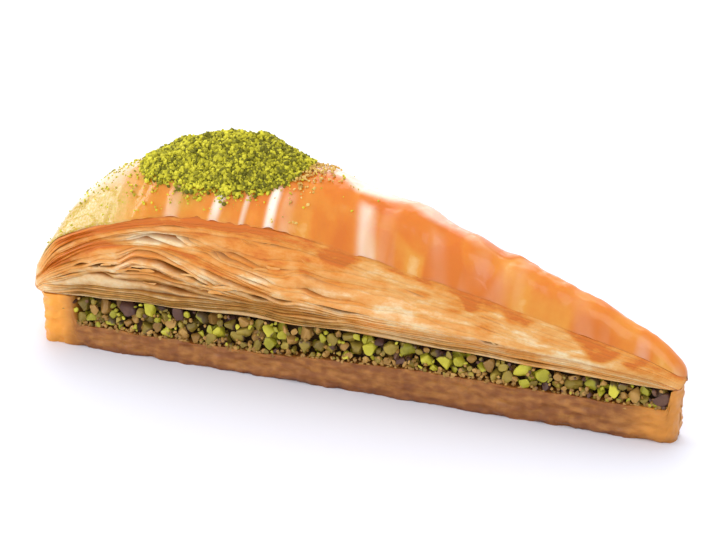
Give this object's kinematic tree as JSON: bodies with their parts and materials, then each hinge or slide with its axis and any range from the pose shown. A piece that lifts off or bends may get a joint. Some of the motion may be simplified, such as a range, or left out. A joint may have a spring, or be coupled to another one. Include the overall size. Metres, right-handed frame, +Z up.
{
  "type": "baklava",
  "caption": "Long wedge-shaped baklava slice with a soaked pastry base, a pistachio filling, a domed stack of flaky pastry leaves and ground pistachio on the crust.",
  "frame": {"origin": "middle of the slice's length and width, on the flat underside of the pastry base", "axes": "+X along the slice from its broad rim end to its narrow tip, +Y across the slice away from the cut face seen in front, +Z up"},
  "size_m": [0.1694, 0.0414, 0.0567],
  "materials": {
    "soaked_pastry": "syrup-soaked brown pastry with a dull gloss",
    "pistachio": "chopped green pistachio, moist with syrup",
    "flaky_pastry": "golden-orange glazed crust over pale flaky leaves",
    "ground_pistachio": "dry, finely ground bright green pistachio"
  },
  "bodies": {
    "root": {"soaked_base": "soaked_pastry", "pistachio_filling": "pistachio", "flaky_top": "flaky_pastry", "ground_pistachio": "ground_pistachio"}
  },
  "joints": []
}
